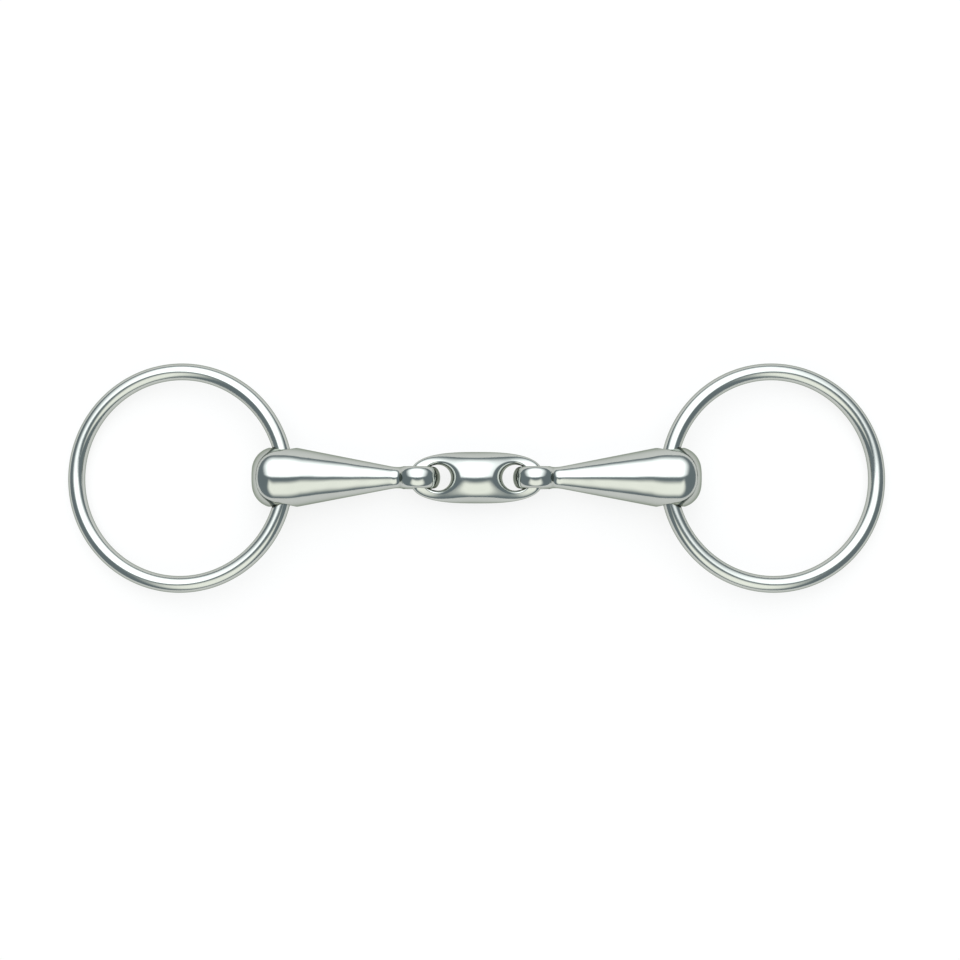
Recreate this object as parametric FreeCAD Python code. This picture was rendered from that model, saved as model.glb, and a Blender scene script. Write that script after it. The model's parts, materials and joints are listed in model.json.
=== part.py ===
import FreeCAD, Part
import math
import os

from FreeCAD import Placement, Rotation, Vector

# Loose-ring snaffle bit with a double-jointed mouthpiece, in millimetres.
# +X runs along the mouthpiece, +Y across it and +Z up from the table that the bit lies on.
# The origin is on the table, under the middle of the centre link.

os.makedirs("parts", exist_ok=True)

# ---- Driving dimensions ----
# Loose rings: round wire, butt-welded and polished
ring_outer_diameter = 75.0
ring_wire_diameter = 5.5

# Cannons: the two tapered arms, each cast in one piece with its eye
hole_to_eye = 43.8           # from the ring hole's axis to the eye's axis
cannon_diameter = 19.8       # at the thick end, round the ring hole
neck_step = 0.15             # the neck is this much narrower than the eye, each side
neck_sweep = 20.0            # radius of the hollow curve from the neck into the taper
shoulder_sweep = 30.0        # radius of the curve from the thick end into the taper
shoulder_inset = 0.3         # the shoulder starts this far inside the ring hole's axis
end_length = 10.0            # from the ring hole's axis to the end face
end_round = 7.6              # radius of the rounded end
ring_clearance = 0.25        # least gap between the wire and its hole
ring_hole_edge = 1.0         # rounding of the ring hole's two mouths

# Eyes: the loops at the thin ends, which pass through the centre link
eye_outer_diameter = 14.8
eye_hole_diameter = 6.2
eye_width = 7.1
eye_blend = 2.4              # rounding between the neck and the eye

# Centre link: an oval barrel with a hole near each end, which leaves an end bar
link_length = 43.4
link_width = 16.8
link_height = 14.6
link_plan_power = 2.75       # squareness of the oval seen from above
link_bar_width = 4.9         # along the link, at its middle
link_bar_height = 4.5
link_hole_diameter = 8.4     # at the waist
link_hole_flare = 12.0       # radius of the curve that widens each hole towards its mouths
link_hole_edge = 1.2         # rounding of the link holes' mouths
link_eye_clearance = 0.35    # gap between the eye and the seat in the link that it turns in
link_stations = 7            # oval sections from the middle to each end

# ---- Worked-out sizes and places ----
wire_radius = ring_wire_diameter / 2
ring_radius = ring_outer_diameter / 2 - wire_radius
cannon_radius = cannon_diameter / 2
neck_radius = eye_width / 2 - neck_step
eye_radius = eye_outer_diameter / 2
eye_thickness = (eye_outer_diameter - eye_hole_diameter) / 2
eye_middle = eye_radius - eye_thickness / 2
link_half = link_length / 2
bar_at = link_half - link_bar_width / 2
link_hole_at = link_half - link_bar_width - link_hole_diameter / 2

# The wire is curved, so over the cannon's width it bows sideways in its straight hole.
wire_bow = ring_radius - math.sqrt(ring_radius ** 2 - cannon_radius ** 2)
ring_hole_radius = wire_radius + wire_bow / 2 + ring_clearance
ring_reach = ring_radius - wire_bow / 2      # from the ring hole's axis to the ring's centre

# The bit lies on its two eyes, on the cannons' shoulders and on the rings' far edges.
shoulder_at = hole_to_eye - shoulder_inset
shoulder_drop = shoulder_sweep - cannon_radius
cannon_rise = math.asin((shoulder_sweep - eye_radius) / math.hypot(shoulder_at, shoulder_drop))
cannon_rise -= math.atan2(shoulder_drop, shoulder_at)
hole_x = bar_at + hole_to_eye * math.cos(cannon_rise)
hole_z = eye_radius + hole_to_eye * math.sin(cannon_rise)
ring_fall = math.asin((hole_z - wire_radius) / (ring_reach + ring_radius))


def line(start, end):
    """A straight edge in the XZ plane."""
    return Part.LineSegment(Vector(start[0], 0, start[1]), Vector(end[0], 0, end[1])).toShape()


def arc(centre, radius, start, end):
    """An arc in the XZ plane between two directions, given in degrees."""
    points = []
    for angle in (start, (start + end) / 2, end):
        turn = math.radians(angle)
        points.append(Vector(centre[0] + radius * math.cos(turn), 0, centre[1] + radius * math.sin(turn)))
    return Part.Arc(*points).toShape()


def oval(centre, longer, shorter, start=0):
    """A closed oval edge with two half-axes, which starts at an angle from the longer one."""
    whole = Part.Ellipse(centre + longer, centre + shorter, centre)
    return whole.toShape(start, start + 2 * math.pi)


def arm():
    """The cannon's solid of revolution: rounded end, shoulder, taper and neck."""
    hollow_centre = (eye_middle, neck_radius + neck_sweep)
    shoulder_centre = (shoulder_at, cannon_radius - shoulder_sweep)
    run = shoulder_centre[0] - hollow_centre[0]
    rise = hollow_centre[1] - shoulder_centre[1]
    taper = math.asin((shoulder_sweep + neck_sweep) / math.hypot(run, rise)) - math.atan2(rise, run)
    lean, level = math.sin(taper), math.cos(taper)
    taper_foot = (hollow_centre[0] + neck_sweep * lean, hollow_centre[1] - neck_sweep * level)
    taper_top = (shoulder_centre[0] - shoulder_sweep * lean, shoulder_centre[1] + shoulder_sweep * level)
    tip = hole_to_eye + end_length
    end_centre = (tip - end_round, cannon_radius - end_round)
    edges = [
        line((eye_middle, 0), (eye_middle, neck_radius)),
        arc(hollow_centre, neck_sweep, -90, -90 + math.degrees(taper)),
        line(taper_foot, taper_top),
        arc(shoulder_centre, shoulder_sweep, 90 + math.degrees(taper), 90),
        line((shoulder_at, cannon_radius), (end_centre[0], cannon_radius)),
        arc(end_centre, end_round, 90, 0),
        line((tip, end_centre[1]), (tip, 0)),
        line((tip, 0), (eye_middle, 0)),
    ]
    profile = Part.Face(Part.Wire(edges))
    return profile.revolve(Vector(0, 0, 0), Vector(1, 0, 0), 360)


def eye(clearance=0):
    """The loop of oval section round the link's end bar, with its hole along Y.

    With a clearance it is the space that the loop needs as it turns. Its seams face the hole
    and lie opposite the arm.
    """
    section = oval(Vector(-eye_middle, 0, 0), Vector(0, eye_width / 2 + clearance, 0),
                   Vector(eye_thickness / 2 + clearance, 0, 0), math.pi / 2)
    return Part.Face(Part.Wire([section])).revolve(Vector(0, 0, 0), Vector(0, 1, 0), 360)


def cannon():
    """One cannon along +X, with its eye's axis at the origin."""
    body = arm().fuse(eye())
    joint = [edge for edge in body.Edges
             if eye_middle < edge.CenterOfMass.x < eye_radius and edge.BoundBox.ZLength > neck_radius / 2]
    body = body.makeFillet(eye_blend, joint)
    hole = Part.makeCylinder(ring_hole_radius, 2 * cannon_diameter,
                             Vector(hole_to_eye, -cannon_diameter, 0), Vector(0, 1, 0))
    body = body.cut(hole)
    mouths = [edge for edge in body.Edges
              if abs(edge.CenterOfMass.x - hole_to_eye) < ring_hole_radius
              and edge.BoundBox.YLength < cannon_radius
              and abs(edge.CenterOfMass.y) > cannon_radius / 2
              and edge.BoundBox.DiagonalLength < 3 * ring_hole_radius]
    return body.makeFillet(ring_hole_edge, mouths)


def link_plan(x):
    """Half the link's width at x."""
    return link_width / 2 * (1 - (abs(x) / link_half) ** link_plan_power) ** (1 / link_plan_power)


def link_side(x):
    """Half the link's height at x: a barrel that thins to the end bars and rounds off past them."""
    bulge = math.cos(math.pi / 2 * min(1, abs(x) / bar_at)) ** 2
    height = link_bar_height / 2 + (link_height - link_bar_height) / 2 * bulge
    past_bar = max(0, abs(x) - bar_at) / (link_bar_width / 2)
    return height * math.sqrt(1 - past_bar ** 2)


def link_barrel():
    """The solid oval barrel, lofted through oval sections across it."""
    sections = [Part.Vertex(-link_half, 0, 0)]
    for index in range(-link_stations, link_stations + 1):
        turn = math.pi / 2 * index / (link_stations + 0.2)
        x = math.copysign(link_half * math.sin(abs(turn)) ** (2 / link_plan_power), turn)
        edge = oval(Vector(x, 0, 0), Vector(0, link_plan(x), 0), Vector(0, 0, link_side(x)))
        sections.append(Part.Wire([edge]))
    sections.append(Part.Vertex(link_half, 0, 0))
    return Part.makeLoft(sections, True)


def link_hole():
    """The waisted space of one link hole, round the Z axis."""
    half_height = link_height / 2
    waist = link_hole_diameter / 2
    mouth = waist + link_hole_flare - math.sqrt(link_hole_flare ** 2 - half_height ** 2)
    wall = Part.Arc(Vector(mouth, 0, -half_height), Vector(waist, 0, 0), Vector(mouth, 0, half_height))
    edges = [wall.toShape(), line((mouth, half_height), (0, half_height)),
             line((0, half_height), (0, -half_height)), line((0, -half_height), (mouth, -half_height))]
    return Part.Face(Part.Wire(edges)).revolve(Vector(0, 0, 0), Vector(0, 0, 1), 360)


def link():
    """The centre link along X, with its middle at the origin."""
    body = link_barrel()
    for side in (-1, 1):
        body = body.cut(link_hole().translated(Vector(side * link_hole_at, 0, 0)))
    # The mouths are the only short edges that lie off the middle plane.
    mouths = [edge for edge in body.Edges
              if abs(edge.CenterOfMass.z) > link_bar_height / 4
              and edge.BoundBox.XLength < 2 * link_hole_diameter]
    body = body.makeFillet(link_hole_edge, mouths)
    for side in (-1, 1):
        body = body.cut(eye(link_eye_clearance).translated(Vector(side * bar_at, 0, 0)))
    return body


def ring():
    """One loose ring in the XY plane, reaching along +X from its place in the ring hole."""
    return Part.makeTorus(ring_radius, wire_radius, Vector(ring_reach, 0, 0))


def place(shape, x, z, rise, side):
    """Tilts a +X piece up by the given angle, moves it to its place and turns it to its side."""
    tilt = Rotation(Vector(0, 1, 0), -math.degrees(rise))
    turn = Placement(Vector(0, 0, 0), Rotation(Vector(0, 0, 1), 90 - 90 * side))
    placed = shape.copy()
    placed.Placement = turn.multiply(Placement(Vector(x, 0, z), tilt)).multiply(placed.Placement)
    return placed


nodes = {"centre_link": link().translated(Vector(0, 0, eye_radius))}
cannon_piece = cannon()
ring_piece = ring()
for name, side in (("left", -1), ("right", 1)):
    nodes[name + "_cannon"] = place(cannon_piece, bar_at, eye_radius, cannon_rise, side)
    nodes[name + "_ring"] = place(ring_piece, hole_x, hole_z, -ring_fall, side)

for name, shape in nodes.items():
    shape.exportStep("parts/" + name + ".step")
    print(name, shape.isValid(), len(shape.Solids), round(shape.Volume, 1))
print("eye axes at x", round(bar_at, 4), "z", round(eye_radius, 4))
print("ring holes at x", round(hole_x, 4), "z", round(hole_z, 4))
print("cannon rise", round(math.degrees(cannon_rise), 3), "ring fall", round(math.degrees(ring_fall), 3))
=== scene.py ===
import math
import json

import bpy
import numpy as np
from bpy.props import FloatProperty, FloatVectorProperty, IntProperty, PointerProperty
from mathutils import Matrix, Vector


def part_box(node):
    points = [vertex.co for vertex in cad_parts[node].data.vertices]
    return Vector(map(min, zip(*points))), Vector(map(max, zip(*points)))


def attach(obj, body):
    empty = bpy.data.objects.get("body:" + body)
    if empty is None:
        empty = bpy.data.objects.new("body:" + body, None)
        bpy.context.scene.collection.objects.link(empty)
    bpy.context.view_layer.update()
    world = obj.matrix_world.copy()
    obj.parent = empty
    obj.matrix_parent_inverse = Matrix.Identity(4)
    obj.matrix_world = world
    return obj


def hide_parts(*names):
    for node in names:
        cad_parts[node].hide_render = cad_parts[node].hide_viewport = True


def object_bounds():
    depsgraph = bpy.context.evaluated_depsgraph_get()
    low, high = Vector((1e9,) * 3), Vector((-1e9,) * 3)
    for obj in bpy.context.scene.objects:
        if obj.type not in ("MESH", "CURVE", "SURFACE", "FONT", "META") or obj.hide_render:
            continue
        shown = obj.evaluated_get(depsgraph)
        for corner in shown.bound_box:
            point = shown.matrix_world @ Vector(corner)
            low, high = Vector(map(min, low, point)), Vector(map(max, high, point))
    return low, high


bl_info = {
    "name": "Loose-Ring Snaffle Bit",
    "version": (1, 0, 0),
    "blender": (4, 5, 0),
    "location": "3D View > Sidebar > Snaffle Bit",
    "description": "Builds the polished steel pieces of a double-jointed snaffle bit and its studio",
    "category": "Add Mesh",
}

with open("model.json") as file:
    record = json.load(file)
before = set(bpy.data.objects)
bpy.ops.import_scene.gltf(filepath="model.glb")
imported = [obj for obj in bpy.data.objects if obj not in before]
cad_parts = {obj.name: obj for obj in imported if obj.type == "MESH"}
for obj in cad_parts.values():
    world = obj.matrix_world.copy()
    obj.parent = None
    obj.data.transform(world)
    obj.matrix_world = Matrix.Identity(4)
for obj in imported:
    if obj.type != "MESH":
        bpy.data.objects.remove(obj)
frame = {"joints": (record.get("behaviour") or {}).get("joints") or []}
CAD_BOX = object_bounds()
JOINT_AT = {joint["name"]: Vector(joint["pos_m"]) for joint in frame["joints"]}
SIDES = (("left", -1), ("right", 1))

TINY = 1e-12                 # the least slope that a distance is divided by
NUDGE = 1e-6                 # step to each side for a slope, in metres
FLUSH = 0.999                # cosine of the angle below which two surfaces count as flush

# Noise scales of the polish, per metre, and the height of its fine relief in metres
LINE_SCALE = 1400
CLOUD_SCALE = 70
WAVE_SCALE = 90
PIT_SCALE = 9000
RELIEF_HEIGHT = 0.00002
CLOUD_SHADE = 0.93           # colour of the steel where the polish is cloudy, as a share of the plain

# Places of the colour sockets on a Mix node
MIX_A, MIX_B, MIX_RESULT = 6, 7, 2

TABLE_REACH = 60             # from the middle of the table to each side, in lengths of the bit
CAMERA_CLIP = 10             # metres


def length(name, default, description):
    """A size in metres, shown in the scene's units."""
    return FloatProperty(name=name, default=default, min=0.0, precision=5,
                         subtype="DISTANCE", unit="LENGTH", description=description)


def share(name, default, description):
    """A number from 0 to 1."""
    return FloatProperty(name=name, default=default, min=0.0, max=1.0, subtype="FACTOR",
                         description=description)


def colour(name, default, description):
    """A colour with its alpha."""
    return FloatVectorProperty(name=name, default=default, subtype="COLOR", size=4, min=0.0, max=1.0,
                               description=description)


# ---- Sizes and finishes that a user may change ----

class RingSizes(bpy.types.PropertyGroup):
    """Sizes of the loose rings"""
    wire: length("Wire diameter", 0.0055, "Thickness of the round wire")
    segments: IntProperty(name="Segments", default=384, min=32, description="Steps round each ring")
    sides: IntProperty(name="Sides", default=64, min=12, description="Steps round the wire")


class CannonSizes(bpy.types.PropertyGroup):
    """Sizes of the two tapered cannons and their eyes"""
    thick_end: length("Thick end diameter", 0.0198, "Diameter round the ring hole")
    neck_step: length("Neck step", 0.00015, "How much narrower the neck is than the eye, each side")
    neck_sweep: length("Neck sweep", 0.020, "Radius of the hollow curve from the neck into the taper")
    shoulder_sweep: length("Shoulder sweep", 0.030,
                           "Radius of the curve from the thick end into the taper")
    shoulder_inset: length("Shoulder inset", 0.0003, "Start of the shoulder inside the ring hole's axis")
    end_length: length("End length", 0.010, "From the ring hole's axis to the end face")
    end_round: length("End rounding", 0.0076, "Radius of the rounded end")
    ring_hole: length("Ring hole diameter", 0.00744, "Diameter of the hole that the ring runs in")
    hole_edge: length("Ring hole edge", 0.0010, "Rounding of the ring hole's mouths")
    eye: length("Eye diameter", 0.0148, "Outer diameter of the eye")
    eye_hole: length("Eye hole diameter", 0.0062, "Diameter of the hole through the eye")
    eye_width: length("Eye width", 0.0071, "Width of the eye's oval section")
    eye_blend: length("Eye blend", 0.0024, "Rounding between the neck and the eye")
    detail: length("Detail", 0.00030, "Size of the mesh's faces")


class LinkSizes(bpy.types.PropertyGroup):
    """Sizes of the oval centre link"""
    height: length("Height", 0.0146, "Height of the barrel at its middle")
    plan_power: FloatProperty(name="Squareness", default=2.75, min=2.0,
                              description="Power of the oval outline seen from above")
    bar_width: length("End bar width", 0.0049, "Width of each end bar along the link")
    bar_height: length("End bar height", 0.0045, "Height of each end bar")
    hole: length("Hole diameter", 0.0084, "Diameter of each hole at its waist")
    hole_flare: length("Hole flare", 0.012,
                       "Radius of the curve that widens each hole towards its mouths")
    hole_edge: length("Hole edge", 0.0012, "Rounding of the holes' mouths")
    eye_clearance: length("Eye clearance", 0.00035, "Gap between an eye and its seat in the link")
    seat_edge: length("Seat edge", 0.0003, "Rounding of the eye seats' edges")
    detail: length("Detail", 0.00022, "Size of the mesh's faces")


class FinishSettings(bpy.types.PropertyGroup):
    """Colours and polish of the steel, and the look of the table top"""
    steel: colour("Steel", (0.53, 0.55, 0.52, 1.0), "Colour of the polished steel")
    edge: colour("Edge", (0.40, 0.44, 0.38, 1.0), "Tint of the steel seen edge-on")
    # Painted shade: the colour the steel is darkened to where other surfaces are near (in holes, joints
    # and next to the table), and how far that darkening reaches
    painted_shade: colour("Painted shade", (0.13, 0.13, 0.125, 1.0),
                    "Colour of the dull steel deep in the joints and holes")
    painted_shade_reach: length("Painted shade reach", 0.003, "How near a wall has to be to make a crevice")
    haze: share("Haze", 0.09, "Roughness of the polished surface")
    grain: share("Grain", 0.15, "Strength of the polishing lines and pits")
    cast_ripple: length("Ripple of castings", 0.00022, "Height of the waves that hand polishing leaves")
    wire_ripple: length("Ripple of wire", 0.00004, "Height of the waves on the rings")
    floor: colour("Table", (0.93, 0.93, 0.925, 1.0), "Colour of the table top")
    floor_glow: share("Table glow", 0.80, "Share of plain white in the look of the table top")


class StudioSettings(bpy.types.PropertyGroup):
    """Places of the camera and the lamps, and the colour of the room"""
    camera_distance: length("Camera distance", 0.65, "From the camera to the middle of the bit")
    camera_elevation: FloatProperty(name="Camera elevation", default=math.radians(87.3),
                                    subtype="ANGLE", unit="ROTATION",
                                    description="Height of the camera above the table's plane")
    aim: FloatVectorProperty(name="Aim", size=2, default=(0.0011, -0.0004), unit="LENGTH", precision=5,
                             description="Place on the table that the camera looks at")
    panel_distance: length("Panel distance", 1.2, "From the lamp panels to the middle of the bit")
    frame_share: FloatProperty(name="Frame share", default=0.847, min=0.1, max=1.0, subtype="FACTOR",
                               description="Share of the picture's width that the bit takes up")
    room: colour("Room", (0.23, 0.278, 0.305, 1.0), "Colour of the dark room round the table")


# ---- Smooth solids from distance rules ----

def span(vectors):
    """Lengths of an array of vectors."""
    return np.sqrt((vectors ** 2).sum(axis=-1))


def round_cut(solid, hole, radius):
    """Cuts a hole out of a solid and rounds its edges."""
    near = np.stack((np.maximum(radius + solid, 0), np.maximum(radius - hole, 0)), axis=-1)
    return np.minimum(-radius, np.maximum(solid, -hole)) + span(near)


def slopes(rule, points):
    """The gradient of a rule at each point."""
    parts = []
    for axis in np.eye(3):
        parts.append((rule(points + NUDGE * axis) - rule(points - NUDGE * axis)) / (2 * NUDGE))
    return np.stack(parts, axis=-1)


def round_join(first, second, points, radius):
    """Joins the solids of two rules with a hollow blend of the given radius, however they meet."""
    from_first, from_second = first(points), second(points)
    joined = np.minimum(from_first, from_second)
    near = (from_first < radius) & (from_second < radius)
    one, other = slopes(first, points[near]), slopes(second, points[near])
    alike = np.clip((one * other).sum(axis=-1) / (span(one) * span(other)), -FLUSH, FLUSH)
    one, other = from_first[near] - radius, from_second[near] - radius
    whole = 1 - alike ** 2
    blended = radius - np.sqrt((one ** 2 + other ** 2 - 2 * alike * one * other) / whole)
    between = (one < alike * other) & (other < alike * one)
    joined[near] = np.where(between, blended, joined[near])
    return joined


def settle(rule, points, rounds):
    """Moves points onto the surface where the rule is zero."""
    for _ in range(rounds):
        slope = slopes(rule, points)
        steep = np.maximum((slope ** 2).sum(axis=-1), TINY)
        points = points - slope * (rule(points) / steep)[:, None]
    return points


def skin(rule, low, high, step):
    """Vertices and four-sided faces of the surface where the rule is zero.

    Each cell of a grid that the surface crosses gets one vertex, and each grid edge that it crosses
    gets one face, through the four cells round that edge. The grid reaches two steps past the box.
    """
    axes = [np.arange(a - 2 * step, b + 3 * step, step) for a, b in zip(low, high)]
    inside = rule(np.stack(np.meshgrid(*axes, indexing="ij"), axis=-1)) < 0
    cells = np.array([size - 1 for size in inside.shape])
    corners = sum(inside[i:cells[0] + i, j:cells[1] + j, k:cells[2] + k].astype(int)
                  for i in (0, 1) for j in (0, 1) for k in (0, 1))
    crossed = (corners > 0) & (corners < 8)
    number = np.full(crossed.shape, -1)
    number[crossed] = np.arange(crossed.sum())
    places = np.argwhere(crossed)
    points = np.stack([axes[d][places[:, d]] + step / 2 for d in range(3)], axis=-1)
    faces = []
    for axis in range(3):
        ahead = np.roll(inside, -1, axis=axis)
        for start_inside in (True, False):
            found = np.argwhere((inside == start_inside) & (ahead != start_inside))
            u, v = [np.eye(3, dtype=int)[(axis + turn) % 3] for turn in (1, 2)]
            loop = [found - u - v, found - v, found, found - u]
            if not start_inside:
                loop.reverse()
            faces.append(np.stack([number[tuple(cell.T)] for cell in loop], axis=-1))
    return points, np.concatenate(faces)


def relax(rule, points, faces, rounds):
    """Evens out the spacing of the points and keeps them on the surface."""
    ends = np.concatenate([faces[:, (i, (i + 1) % 4)] for i in range(4)])
    for _ in range(rounds):
        total = np.zeros_like(points)
        count = np.zeros(len(points))
        np.add.at(total, ends[:, 0], points[ends[:, 1]])
        np.add.at(count, ends[:, 0], 1)
        points = settle(rule, total / count[:, None], rounds=2)
    return points


def solid_piece(name, rule, low, high, step, place):
    """A smooth mesh object of the solid that the rule describes, in its place, with exact normals."""
    points, faces = skin(rule, low, high, step)
    points = settle(rule, points, rounds=4)
    points = relax(rule, points, faces, rounds=3)
    points = settle(rule, points, rounds=4)
    normals = slopes(rule, points)
    turn, start = place
    normals = (normals / span(normals)[:, None]) @ turn.T
    points = points @ turn.T + start
    mesh = bpy.data.meshes.new(name)
    mesh.from_pydata(points.tolist(), [], faces.tolist())
    mesh.polygons.foreach_set("use_smooth", [True] * len(mesh.polygons))
    mesh.normals_split_custom_set_from_vertices(normals.tolist())
    piece = bpy.data.objects.new(name, mesh)
    bpy.context.scene.collection.objects.link(piece)
    return piece


# ---- The bit's own shapes ----

def arm_rule(sizes, reach):
    """The cannon's turned arm along +X: neck, taper, shoulder and rounded end."""
    thick, neck = sizes.thick_end / 2, sizes.eye_width / 2 - sizes.neck_step
    shoulder, hollow = sizes.shoulder_sweep, sizes.neck_sweep
    neck_at = (sizes.eye + sizes.eye_hole) / 4
    shoulder_at = reach - sizes.shoulder_inset
    run, rise = shoulder_at - neck_at, neck + hollow - (thick - shoulder)
    taper = math.asin((shoulder + hollow) / math.hypot(run, rise)) - math.atan2(rise, run)
    taper_foot = neck_at + hollow * math.sin(taper)
    taper_top = shoulder_at - shoulder * math.sin(taper)
    end_at = reach + sizes.end_length - sizes.end_round
    end_out = thick - sizes.end_round

    def rule(points):
        along = points[..., 0]
        out = np.hypot(points[..., 1], points[..., 2])
        down, up = along - shoulder_at, out - (thick - shoulder)
        turn = np.clip(np.arctan2(-down, up), 0, taper)
        upper = up * np.cos(turn) - down * np.sin(turn) - shoulder
        down, up = along - neck_at, out - (neck + hollow)
        turn = np.clip(np.arctan2(down, -up), 0, taper)
        lower = hollow - down * np.sin(turn) + up * np.cos(turn)
        past, beside = along - end_at, out - end_out
        end = np.hypot(np.maximum(past, 0), np.maximum(beside, 0))
        end = end + np.minimum(np.maximum(past, beside), 0)
        side = np.where(along > (taper_foot + taper_top) / 2, upper, lower)
        whole = np.where(along > shoulder_at, end - sizes.end_round, side)
        return np.maximum(whole, neck_at - along)

    return rule


def eye_rule(sizes, clearance=0.0):
    """The loop of oval section round the end bar, with its hole along Y.

    With a clearance it is the space that the loop turns in.
    """
    middle = (sizes.eye + sizes.eye_hole) / 4
    half_thickness = (sizes.eye - sizes.eye_hole) / 4 + clearance
    half_width = sizes.eye_width / 2 + clearance

    def rule(points):
        across = np.hypot(points[..., 0], points[..., 2]) - middle
        beside = points[..., 1]
        reach = np.hypot(across / half_thickness, beside / half_width)
        steep = np.hypot(across / half_thickness ** 2, beside / half_width ** 2)
        return reach * (reach - 1) / np.maximum(steep, TINY)

    return rule


def cannon_rule(sizes, reach):
    """One whole cannon along +X, with its eye's axis at the origin."""
    arm, eye = arm_rule(sizes, reach), eye_rule(sizes)

    def rule(points):
        body = round_join(arm, eye, points, sizes.eye_blend)
        hole = np.hypot(points[..., 0] - reach, points[..., 2]) - sizes.ring_hole / 2
        return round_cut(body, hole, sizes.hole_edge)

    return rule


def link_rule(sizes, eye_sizes, half_length, half_width):
    """The centre link along X: an oval barrel with a waisted hole and an eye's seat near each end."""
    bar_at = half_length - sizes.bar_width / 2
    hole_at = half_length - sizes.bar_width - sizes.hole / 2
    just_inside = half_length * (1 - 1e-6)
    seat_rule = eye_rule(eye_sizes, sizes.eye_clearance)

    def barrel(points):
        x = np.minimum(np.abs(points[..., 0]), just_inside)
        plan = half_width * (1 - (x / half_length) ** sizes.plan_power) ** (1 / sizes.plan_power)
        bulge = np.cos(math.pi / 2 * np.minimum(1, x / bar_at)) ** 2
        side = (sizes.bar_height + (sizes.height - sizes.bar_height) * bulge) / 2
        side = side * np.sqrt(1 - (np.maximum(0, x - bar_at) / (sizes.bar_width / 2)) ** 2)
        beyond = np.maximum(0, np.abs(points[..., 0]) - half_length) / half_length
        return np.hypot(points[..., 1] / plan, points[..., 2] / side) - 1 + beyond

    def rule(points):
        body = barrel(points) / np.maximum(span(slopes(barrel, points)), TINY)
        x, y, z = np.abs(points[..., 0]), points[..., 1], points[..., 2]
        wall_at = sizes.hole / 2 + sizes.hole_flare
        hole = sizes.hole_flare - np.hypot(np.hypot(x - hole_at, y) - wall_at, z)
        seat = seat_rule(np.stack((x - bar_at, y, z), axis=-1))
        return round_cut(round_cut(body, hole, sizes.hole_edge), seat, sizes.seat_edge)

    return rule


# ---- Node helpers ----

def feed(tree, socket, source):
    """Links another node's output to a socket, or sets the socket to a plain value."""
    if isinstance(source, bpy.types.NodeSocket):
        tree.links.new(source, socket)
    else:
        socket.default_value = source


def math_node(tree, operation, first, second=0.0):
    """The output of a Math node."""
    node = tree.nodes.new("ShaderNodeMath")
    node.operation = operation
    feed(tree, node.inputs[0], first)
    feed(tree, node.inputs[1], second)
    return node.outputs[0]


def map_range(tree, source, low, high, start=0.0, end=1.0, kind="LINEAR"):
    """The output of a Map Range node that turns low to high into start to end."""
    node = tree.nodes.new("ShaderNodeMapRange")
    node.interpolation_type = kind
    for name, value in (("From Min", low), ("From Max", high), ("To Min", start), ("To Max", end)):
        node.inputs[name].default_value = value
    tree.links.new(source, node.inputs["Value"])
    return node.outputs["Result"]


def mix_colours(tree, part, first, second):
    """The output of a Mix node that goes from the first colour to the second as part goes to 1."""
    node = tree.nodes.new("ShaderNodeMix")
    node.data_type = "RGBA"
    tree.links.new(part, node.inputs[0])
    feed(tree, node.inputs[MIX_A], first)
    feed(tree, node.inputs[MIX_B], second)
    return node.outputs[MIX_RESULT]


# ---- Finishes ----

def polished_steel(finish, name, ripple, grain=(1, 1, 1)):
    """Mirror-polished stainless steel with faint polishing lines, haze, tiny pits, and painted shade
    where other surfaces are near.

    ripple is the height of the low waves that hand polishing leaves. grain stretches the polishing
    lines: a small value along one axis draws them along it.
    """
    material = bpy.data.materials.new(name)
    material.use_nodes = True
    tree = material.node_tree
    surface = tree.nodes["Principled BSDF"]
    surface.inputs["Metallic"].default_value = 1.0
    surface.inputs["Specular Tint"].default_value = finish.edge
    place = tree.nodes.new("ShaderNodeTexCoord").outputs["Object"]

    def noise(scale, detail, stretch=(1, 1, 1)):
        mapping = tree.nodes.new("ShaderNodeMapping")
        mapping.inputs["Scale"].default_value = stretch
        tree.links.new(place, mapping.inputs["Vector"])
        node = tree.nodes.new("ShaderNodeTexNoise")
        node.inputs["Scale"].default_value = scale
        node.inputs["Detail"].default_value = detail
        tree.links.new(mapping.outputs["Vector"], node.inputs["Vector"])
        return node.outputs["Fac"]

    def bump(strength, height, source, normal=None):
        node = tree.nodes.new("ShaderNodeBump")
        node.inputs["Strength"].default_value = strength
        node.inputs["Distance"].default_value = height
        tree.links.new(source, node.inputs["Height"])
        if normal is not None:
            tree.links.new(normal, node.inputs["Normal"])
        return node.outputs["Normal"]

    lines = noise(LINE_SCALE, 3, grain)
    cloud = noise(CLOUD_SCALE, 4)
    clouded = [CLOUD_SHADE * part for part in finish.steel[:3]] + [1]
    steel = mix_colours(tree, map_range(tree, cloud, 0.3, 0.7), clouded, finish.steel)
    # Painted shade: an Ambient Occlusion mask darkens the base colour towards the painted shade colour
    # wherever walls are near, in holes, joints and next to the table
    painted_shade = tree.nodes.new("ShaderNodeAmbientOcclusion")
    painted_shade.inputs["Distance"].default_value = finish.painted_shade_reach
    unshaded = map_range(tree, painted_shade.outputs["AO"], 0.1, 0.65)
    tree.links.new(mix_colours(tree, unshaded, finish.painted_shade, steel), surface.inputs["Base Color"])

    rough = math_node(tree, "ADD",
                      map_range(tree, cloud, 0.3, 0.7, 0.8 * finish.haze, 1.2 * finish.haze),
                      map_range(tree, lines, 0.35, 0.75, 0, 0.5 * finish.haze))
    tree.links.new(rough, surface.inputs["Roughness"])

    waves = bump(1.0, ripple, noise(WAVE_SCALE, 1))
    pits = map_range(tree, noise(PIT_SCALE, 2), 0.6, 0.8, 0, -0.3)
    relief = bump(finish.grain, RELIEF_HEIGHT, math_node(tree, "ADD", lines, pits), waves)
    tree.links.new(relief, surface.inputs["Normal"])
    return material


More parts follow.
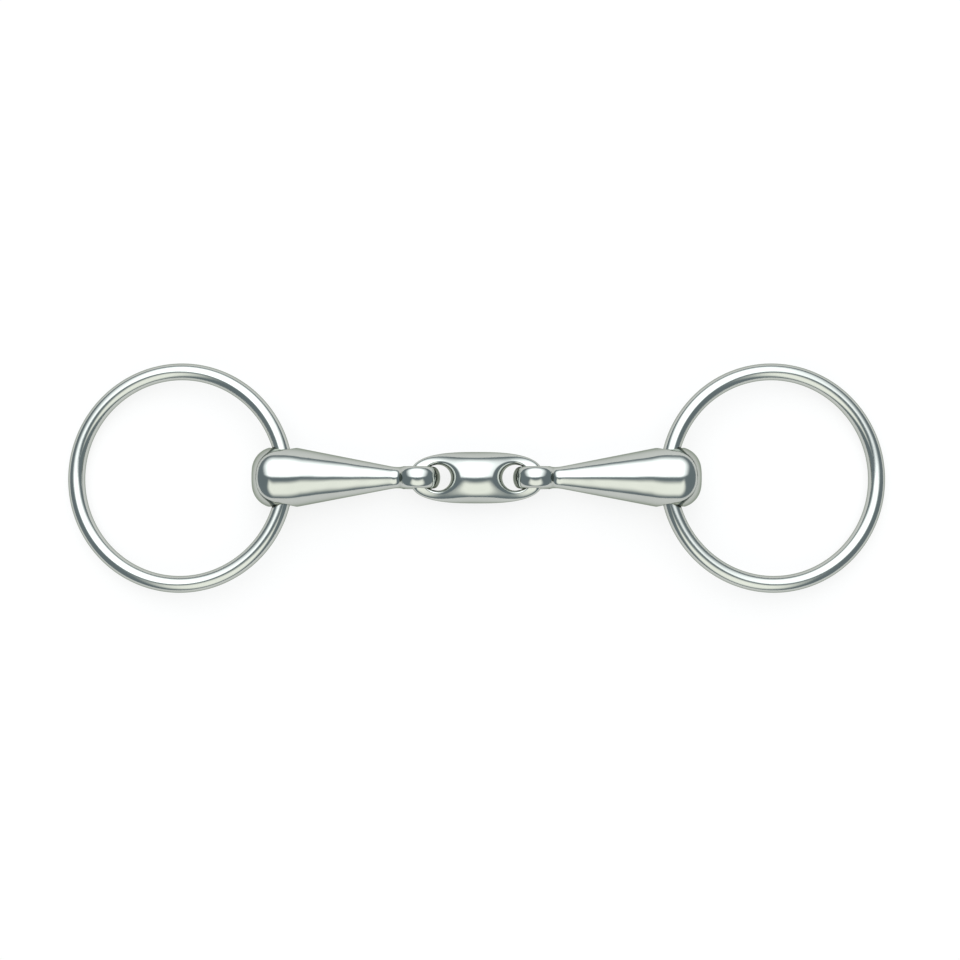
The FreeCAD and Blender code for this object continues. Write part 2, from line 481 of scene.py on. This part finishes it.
def table_top(finish):
    """A pale table top that looks white, and keeps the shadow of what lies on it."""
    material = bpy.data.materials.new("table_top")
    material.use_nodes = True
    tree = material.node_tree
    surface = tree.nodes["Principled BSDF"]
    surface.inputs["Base Color"].default_value = finish.floor
    surface.inputs["Roughness"].default_value = 0.9
    surface.inputs["Specular IOR Level"].default_value = 0.1
    glow = tree.nodes.new("ShaderNodeEmission")
    path = tree.nodes.new("ShaderNodeLightPath")
    seen = path.outputs["Is Camera Ray"]
    for other in ("Is Glossy Ray", "Is Transmission Ray"):
        seen = math_node(tree, "MAXIMUM", seen, path.outputs[other])
    blend = tree.nodes.new("ShaderNodeMixShader")
    tree.links.new(math_node(tree, "MULTIPLY", seen, finish.floor_glow), blend.inputs[0])
    tree.links.new(surface.outputs[0], blend.inputs[1])
    tree.links.new(glow.outputs[0], blend.inputs[2])
    tree.links.new(blend.outputs[0], tree.nodes["Material Output"].inputs["Surface"])
    return material


# ---- One operator for each kind of piece, and one for the stage ----

def lying(start, end):
    """The turn and place that lay a +X piece from start towards end, with its Y level."""
    ahead = (end - start).normalized()
    across = Vector((0, math.copysign(1, ahead.x), 0))
    up = ahead.cross(across)
    return np.array([ahead, across, up]).T, np.array(start)


class SNAFFLE_OT_rings(bpy.types.Operator):
    """Bends each loose ring out of round wire"""
    bl_idname = "snaffle.rings"
    bl_label = "Loose Rings"

    def wire_tree(self, steel):
        """Geometry nodes that sweep a round wire along a circle."""
        tree = bpy.data.node_groups.new("bent_wire_ring", "GeometryNodeTree")
        for name, kind in (("Ring Radius", "NodeSocketFloat"), ("Wire Radius", "NodeSocketFloat"),
                           ("Segments", "NodeSocketInt"), ("Sides", "NodeSocketInt")):
            tree.interface.new_socket(name=name, in_out="INPUT", socket_type=kind)
        tree.interface.new_socket(name="Geometry", in_out="OUTPUT", socket_type="NodeSocketGeometry")
        inputs = tree.nodes.new("NodeGroupInput")
        outputs = tree.nodes.new("NodeGroupOutput")
        path = tree.nodes.new("GeometryNodeCurvePrimitiveCircle")
        section = tree.nodes.new("GeometryNodeCurvePrimitiveCircle")
        sweep = tree.nodes.new("GeometryNodeCurveToMesh")
        smooth = tree.nodes.new("GeometryNodeSetShadeSmooth")
        real = tree.nodes.new("GeometryNodeRealizeInstances")
        paint = tree.nodes.new("GeometryNodeSetMaterial")
        paint.inputs["Material"].default_value = steel
        for source, socket in (
                (inputs.outputs["Ring Radius"], path.inputs["Radius"]),
                (inputs.outputs["Segments"], path.inputs["Resolution"]),
                (inputs.outputs["Wire Radius"], section.inputs["Radius"]),
                (inputs.outputs["Sides"], section.inputs["Resolution"]),
                (path.outputs["Curve"], sweep.inputs["Curve"]),
                (section.outputs["Curve"], sweep.inputs["Profile Curve"]),
                (sweep.outputs["Mesh"], smooth.inputs["Geometry"]),
                (smooth.outputs["Geometry"], real.inputs["Geometry"]),
                (real.outputs["Geometry"], paint.inputs["Geometry"]),
                (paint.outputs["Geometry"], outputs.inputs["Geometry"])):
            tree.links.new(source, socket)
        return tree

    def execute(self, context):
        sizes, finish = context.scene.snaffle_rings, context.scene.snaffle_finish
        steel = polished_steel(finish, "ring_steel", finish.wire_ripple)
        tree = self.wire_tree(steel)
        sockets = {item.name: item.identifier for item in tree.interface.items_tree
                   if item.in_out == "INPUT"}
        for side, sign in SIDES:
            node = side + "_ring"
            low, high = [Vector(corner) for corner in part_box(node)]
            radius = (high.y - low.y - sizes.wire) / 2
            drop = (high.z - low.z - sizes.wire) / 2
            blank = bpy.data.objects.new(node + "_blank", bpy.data.meshes.new(node + "_blank"))
            context.scene.collection.objects.link(blank)
            bend = blank.modifiers.new("Bent Wire", "NODES")
            bend.node_group = tree
            bend[sockets["Ring Radius"]] = radius
            bend[sockets["Wire Radius"]] = sizes.wire / 2
            bend[sockets["Segments"]] = sizes.segments
            bend[sockets["Sides"]] = sizes.sides
            context.view_layer.update()
            bent = blank.evaluated_get(context.evaluated_depsgraph_get())
            mesh = bpy.data.meshes.new_from_object(bent)
            bpy.data.objects.remove(blank)
            fall = math.asin(drop / radius)
            turn, _ = lying(Vector((0, 0, 0)), Vector((sign * math.cos(fall), 0, -math.sin(fall))))
            centre = np.array((low + high) / 2)
            points = np.array([vertex.co for vertex in mesh.vertices]) @ turn.T + centre
            mesh.vertices.foreach_set("co", points.ravel())
            mesh.update()
            piece = bpy.data.objects.new(side + "_loose_ring", mesh)
            context.scene.collection.objects.link(piece)
            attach(piece, side + "_ring")
            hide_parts(node)
        return {"FINISHED"}


class SNAFFLE_OT_cannons(bpy.types.Operator):
    """Shapes the two tapered cannons with their ring holes and eyes"""
    bl_idname = "snaffle.cannons"
    bl_label = "Cannons"

    def execute(self, context):
        sizes, finish = context.scene.snaffle_cannons, context.scene.snaffle_finish
        steel = polished_steel(finish, "cannon_steel", finish.cast_ripple, grain=(0.05, 1, 1))
        for side, _ in SIDES:
            eye, hole = JOINT_AT[side + "_cannon_fold"], JOINT_AT[side + "_ring_swing"]
            reach = (hole - eye).length
            half = sizes.thick_end / 2
            rule = cannon_rule(sizes, reach)
            low = (-sizes.eye / 2, -half, -half)
            high = (reach + sizes.end_length, half, half)
            piece = solid_piece(side + "_mouth_cannon", rule, low, high, sizes.detail, lying(eye, hole))
            piece.data.materials.append(steel)
            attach(piece, side + "_cannon")
            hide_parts(side + "_cannon")
        return {"FINISHED"}


class SNAFFLE_OT_centre_link(bpy.types.Operator):
    """Shapes the oval centre link with its two holes"""
    bl_idname = "snaffle.centre_link"
    bl_label = "Centre Link"

    def execute(self, context):
        sizes, finish = context.scene.snaffle_link, context.scene.snaffle_finish
        steel = polished_steel(finish, "link_steel", finish.cast_ripple, grain=(0.2, 1, 1))
        low, high = [Vector(corner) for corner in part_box("centre_link")]
        centre, half = (low + high) / 2, (high - low) / 2
        rule = link_rule(sizes, context.scene.snaffle_cannons, half.x, half.y)
        place = lying(centre, centre + Vector((1, 0, 0)))
        piece = solid_piece("oval_centre_link", rule, tuple(-half), tuple(half), sizes.detail, place)
        piece.data.materials.append(steel)
        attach(piece, "centre_link")
        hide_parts("centre_link")
        return {"FINISHED"}


class SNAFFLE_OT_studio(bpy.types.Operator):
    """Sets the table top, the lamps, the surroundings and the camera"""
    bl_idname = "snaffle.studio"
    bl_label = "Studio"

    def panel(self, name, *, turn, near, far, width, level, tint, start, bow, fade, middle, soft, shift):
        """A soft lamp panel that leans over the bit, from near the top of the room down to the table.

        It stands towards +Y, turned about Z, between two tilts off the vertical, near and far. Its
        light begins at start, a share of its depth, and comes in over the share fade. bow moves that
        edge at its sides, per squared share of its width. Past middle its outline is oval, and soft
        is the share that fades there. level is its brightness, where 1 looks white in a mirror, and
        shift moves it along X.
        """
        distance = bpy.context.scene.snaffle_studio.panel_distance
        tilt = (near + far) / 2
        depth = 2 * distance * math.tan((far - near) / 2)
        lamp = bpy.data.lights.new(name, "AREA")
        lamp.shape = "RECTANGLE"
        lamp.size, lamp.size_y = width, depth
        lamp.color = tint
        lamp.energy = level * math.pi * width * depth    # a flat lamp's brightness is power / (pi * area)
        lamp.use_nodes = True
        tree = lamp.node_tree

        split = tree.nodes.new("ShaderNodeSeparateXYZ")
        place = tree.nodes.new("ShaderNodeNewGeometry").outputs["Parametric"]
        tree.links.new(place, split.inputs[0])
        aside = math_node(tree, "ABSOLUTE", math_node(tree, "SUBTRACT", split.outputs["X"], 0.5))
        down = split.outputs["Y"]
        aside_squared = math_node(tree, "POWER", aside, 2.0)
        past_middle = math_node(tree, "MAXIMUM", math_node(tree, "SUBTRACT", down, middle), 0.0)
        # Both parts of the oval reach 1 at its outline: along past the middle, and twice aside.
        along = math_node(tree, "DIVIDE", past_middle, 1.0 - middle)
        oval = math_node(tree, "ADD", math_node(tree, "POWER", along, 2.0),
                         math_node(tree, "MULTIPLY", aside_squared, 4.0))
        outward = math_node(tree, "POWER", oval, 0.5)
        inward = math_node(tree, "SUBTRACT", down, math_node(tree, "MULTIPLY", aside_squared, bow))
        light = math_node(tree, "MULTIPLY",
                          map_range(tree, outward, 1.0, 1.0 - soft, kind="SMOOTHSTEP"),
                          map_range(tree, inward, start, start + fade, kind="SMOOTHSTEP"))
        tree.links.new(light, tree.nodes["Emission"].inputs["Strength"])

        lamp_object = bpy.data.objects.new(name, lamp)
        out, up = distance * math.sin(tilt), distance * math.cos(tilt)
        lamp_object.location = (shift - out * math.sin(turn), out * math.cos(turn), up)
        lamp_object.rotation_euler = (-tilt, 0, turn)
        bpy.context.scene.collection.objects.link(lamp_object)

    def execute(self, context):
        scene = context.scene
        studio = scene.snaffle_studio
        scene.view_settings.view_transform = "Standard"
        low, high = [Vector(corner) for corner in CAD_BOX]
        reach = TABLE_REACH * (high.x - low.x)
        corners = [(x * reach, y * reach, low.z) for x, y in ((-1, -1), (1, -1), (1, 1), (-1, 1))]
        mesh = bpy.data.meshes.new("table")
        mesh.from_pydata(corners, [], [(0, 1, 2, 3)])
        mesh.materials.append(table_top(scene.snaffle_finish))
        table = bpy.data.objects.new("table", mesh)
        scene.collection.objects.link(table)

        self.panel("key_panel", turn=0.0, near=math.radians(-9), far=math.radians(86), width=3.7,
                   level=2.3, tint=(0.97, 0.98, 1.0), start=0.055, bow=0.7, fade=0.13,
                   middle=0.55, soft=0.88, shift=-0.10)
        self.panel("fill_panel", turn=math.pi, near=math.radians(8), far=math.radians(86.5), width=1.9,
                   level=1.27, tint=(1.0, 0.975, 0.88), start=0.09, bow=-1.0, fade=0.27,
                   middle=0.35, soft=0.5, shift=0.0)
        world = bpy.data.worlds.new("studio_room")
        world.use_nodes = True
        world.node_tree.nodes["Background"].inputs["Color"].default_value = studio.room
        scene.world = world

        camera = bpy.data.cameras.new("camera")
        width = (high.x - low.x) / studio.frame_share
        camera.lens = camera.sensor_width * (studio.camera_distance - low.z) / width
        camera.clip_end = CAMERA_CLIP
        camera_object = bpy.data.objects.new("camera", camera)
        target = Vector((*studio.aim, low.z))
        away = Vector((0, -math.cos(studio.camera_elevation), math.sin(studio.camera_elevation)))
        camera_object.location = target + studio.camera_distance * away
        camera_object.rotation_euler = (-away).to_track_quat("-Z", "Y").to_euler()
        scene.collection.objects.link(camera_object)
        scene.camera = camera_object
        return {"FINISHED"}


class SNAFFLE_PT_panel(bpy.types.Panel):
    """Lists the bit's settings and the operators that build it"""
    bl_label = "Snaffle Bit"
    bl_space_type = "VIEW_3D"
    bl_region_type = "UI"
    bl_category = "Snaffle Bit"

    def draw(self, context):
        for operator, group in BUILD_STEPS:
            box = self.layout.box()
            box.operator(operator.bl_idname)
            self.list_settings(box, getattr(context.scene, group))
        box = self.layout.box()
        box.label(text="Finish")
        self.list_settings(box, context.scene.snaffle_finish)

    def list_settings(self, box, settings):
        """Shows each setting of a group in a box."""
        for name in settings.__annotations__:
            box.prop(settings, name)


SETTINGS = {
    "snaffle_rings": RingSizes,
    "snaffle_cannons": CannonSizes,
    "snaffle_link": LinkSizes,
    "snaffle_finish": FinishSettings,
    "snaffle_studio": StudioSettings,
}
BUILD_STEPS = (
    (SNAFFLE_OT_studio, "snaffle_studio"),
    (SNAFFLE_OT_rings, "snaffle_rings"),
    (SNAFFLE_OT_cannons, "snaffle_cannons"),
    (SNAFFLE_OT_centre_link, "snaffle_link"),
)


def register():
    """Adds the settings, the operators and the sidebar panel."""
    for name, group in SETTINGS.items():
        bpy.utils.register_class(group)
        setattr(bpy.types.Scene, name, PointerProperty(type=group))
    for operator, _ in BUILD_STEPS:
        bpy.utils.register_class(operator)
    bpy.utils.register_class(SNAFFLE_PT_panel)


def unregister():
    """Takes away what register added."""
    bpy.utils.unregister_class(SNAFFLE_PT_panel)
    for operator, _ in reversed(BUILD_STEPS):
        bpy.utils.unregister_class(operator)
    for name, group in reversed(SETTINGS.items()):
        delattr(bpy.types.Scene, name)
        bpy.utils.unregister_class(group)


def main():
    """Builds the stage and the bit."""
    register()
    bpy.ops.snaffle.studio()
    bpy.ops.snaffle.rings()
    bpy.ops.snaffle.cannons()
    bpy.ops.snaffle.centre_link()


if __name__ == "__main__":
    main()
